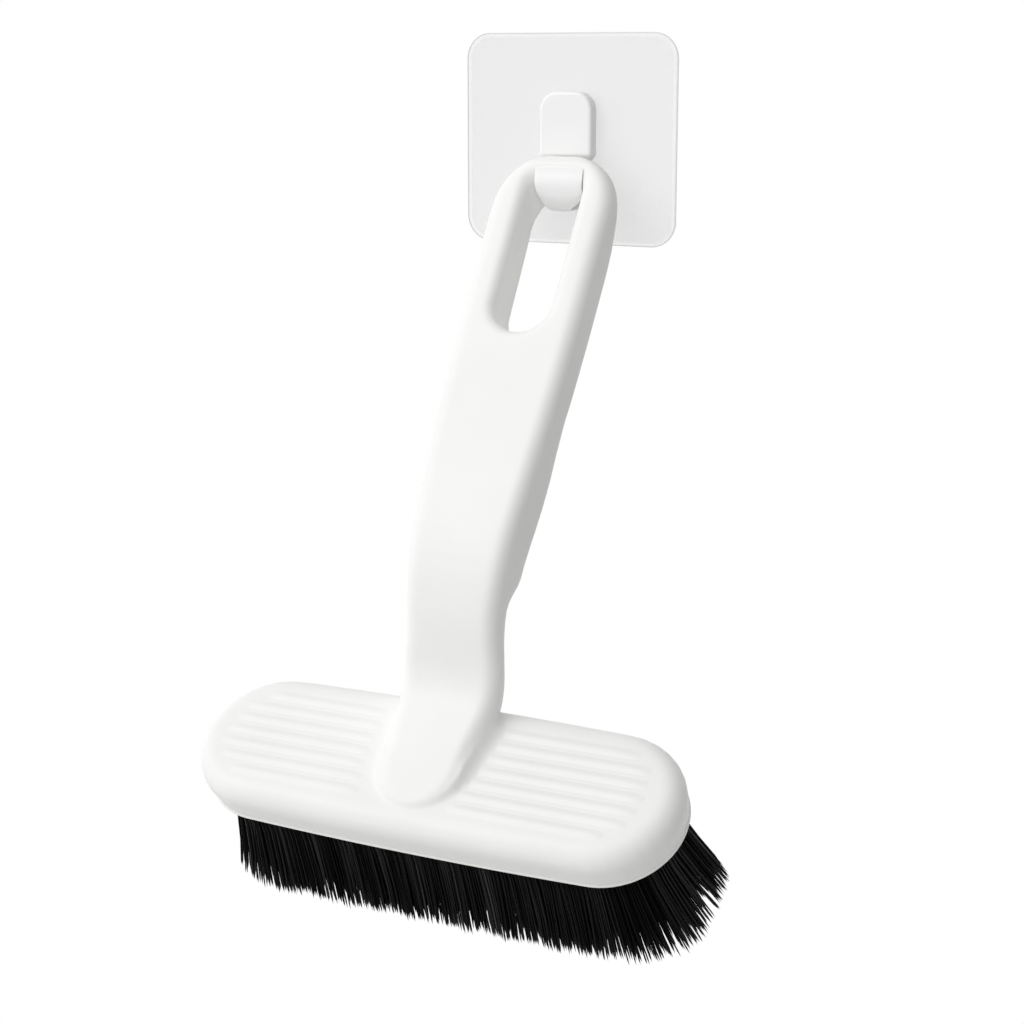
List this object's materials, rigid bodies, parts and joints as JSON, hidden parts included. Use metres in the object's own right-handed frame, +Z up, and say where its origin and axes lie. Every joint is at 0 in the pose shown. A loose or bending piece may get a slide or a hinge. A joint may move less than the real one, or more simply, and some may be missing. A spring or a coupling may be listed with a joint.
{
  "type": "gap cleaning brush on a wall hook",
  "caption": "Cleaning brush with a long, thin head of black bristles and a white bent handle, hanging by its loop on a stick-on wall hook.",
  "frame": {"origin": "centre of the wall plate's back face, on the wall", "axes": "+Y goes into the wall, +Z is up, and X runs along the wall and along the brush head"},
  "size_m": [0.1496, 0.1047, 0.2337],
  "materials": {
    "clear_gel": "clear soft adhesive gel",
    "frosted_film": "frosted clear film",
    "white_abs": "satin white moulding",
    "white_pp": "fine matt white moulding",
    "black_nylon": "black bristle with a slight sheen"
  },
  "bodies": {
    "wall_hook": {"adhesive_gel": "clear_gel", "pad_film": "frosted_film", "hook": "white_abs"},
    "brush": {"handle_and_head": "white_pp", "bristle_block_1": "black_nylon", "bristle_block_2": "black_nylon", "bristle_block_3": "black_nylon", "bristle_block_4": "black_nylon", "bristle_block_5": "black_nylon", "bristle_block_6": "black_nylon", "bristle_block_7": "black_nylon", "bristle_block_8": "black_nylon"}
  },
  "joints": [
    {"name": "brush_lift_off", "type": "slide", "parent": "wall_hook", "child": "brush", "axis": [0, -0.2924, 0.9563], "range_m": [0, 0.06]}
  ]
}
